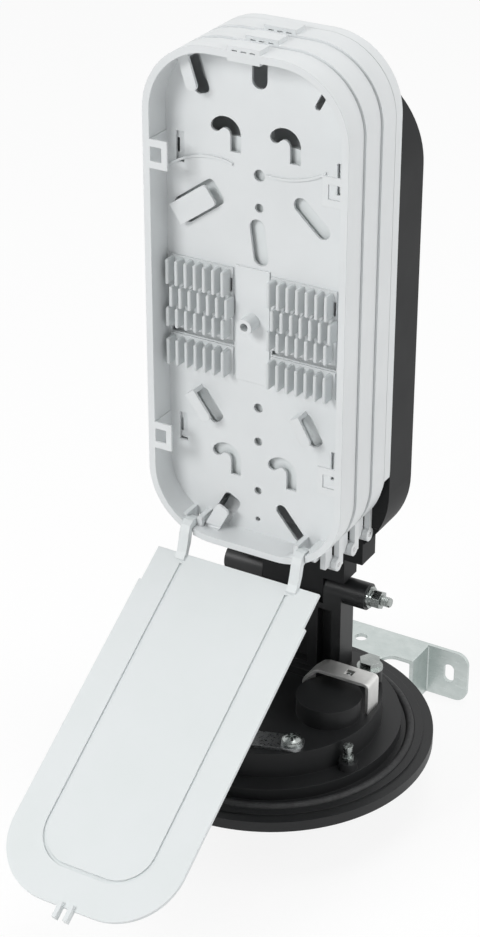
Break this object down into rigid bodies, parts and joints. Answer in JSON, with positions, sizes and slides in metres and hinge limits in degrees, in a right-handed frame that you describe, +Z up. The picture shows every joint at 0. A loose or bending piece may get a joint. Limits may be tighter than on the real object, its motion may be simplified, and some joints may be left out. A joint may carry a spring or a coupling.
{
  "type": "fiber splice closure",
  "caption": "Open fibre splice closure: round black base on a wall bracket, with a pivoting rack of hinged white splice trays, the front lid hanging open.",
  "frame": {"origin": "middle of the ground plane under the round base, on the end of the centre cable port", "axes": "+Z up along the closure, -Y the side that the front tray faces, +Y the wall side, X across the trays"},
  "size_m": [0.193, 0.356, 0.4655],
  "materials": {
    "base_black": "satin",
    "seal_rubber": "matt",
    "strap_steel": "satin",
    "zinc_plate": "zinc plated",
    "carrier_black": "matt",
    "tray_white": "semi gloss",
    "lid_clear_white": "gloss",
    "holder_grey": "matt",
    "pin_steel": "drawn"
  },
  "bodies": {
    "base": {"base_body": "base_black", "dome_seal": "seal_rubber", "tie_plates": "strap_steel", "tie_screws": "zinc_plate", "strap_right": "strap_steel", "strap_left": "strap_steel", "earth_bolts": "zinc_plate", "air_valve": "zinc_plate", "valve_cap": "zinc_plate", "pillar": "base_black", "pillar_screws": "zinc_plate", "pivot_bolt": "zinc_plate", "pivot_washers": "zinc_plate", "pivot_nut": "zinc_plate", "wall_bracket": "zinc_plate", "bracket_bolts": "zinc_plate"},
    "carrier": {"carrier": "carrier_black", "hinge_plate": "tray_white", "hinge_plate_screws": "zinc_plate", "tray_pins_3": "pin_steel"},
    "tray_3": {"tray_3": "tray_white", "splice_holders_3": "holder_grey", "lid_3": "lid_clear_white", "lid_pins_3": "pin_steel", "tray_pins_2": "pin_steel"},
    "tray_2": {"tray_2": "tray_white", "splice_holders_2": "holder_grey", "lid_2": "lid_clear_white", "lid_pins_2": "pin_steel", "tray_pins_1": "pin_steel"},
    "tray_1": {"tray_1": "tray_white", "splice_holders_1": "holder_grey", "lid_pins_1": "pin_steel"},
    "lid_1": {"lid_1": "lid_clear_white"}
  },
  "joints": [
    {"name": "carrier_tilt", "type": "hinge", "parent": "base", "child": "carrier", "pos_m": [0, 0.034, 0.125], "axis": [-1, 0, 0], "range_deg": [0, 15]},
    {"name": "tray_3_hinge", "type": "hinge", "parent": "carrier", "child": "tray_3", "pos_m": [0, 0.0248, 0.1724], "axis": [1, 0, 0], "range_deg": [0, 7]},
    {"name": "tray_2_hinge", "type": "hinge", "parent": "tray_3", "child": "tray_2", "pos_m": [0, 0.0062, 0.1724], "axis": [1, 0, 0], "range_deg": [0, 7]},
    {"name": "tray_1_hinge", "type": "hinge", "parent": "tray_2", "child": "tray_1", "pos_m": [0, -0.0124, 0.1724], "axis": [1, 0, 0], "range_deg": [0, 12]},
    {"name": "lid_1_hinge", "type": "hinge", "parent": "tray_1", "child": "lid_1", "pos_m": [0, -0.024, 0.181], "axis": [1, 0, 0], "range_deg": [-115, 0]}
  ]
}
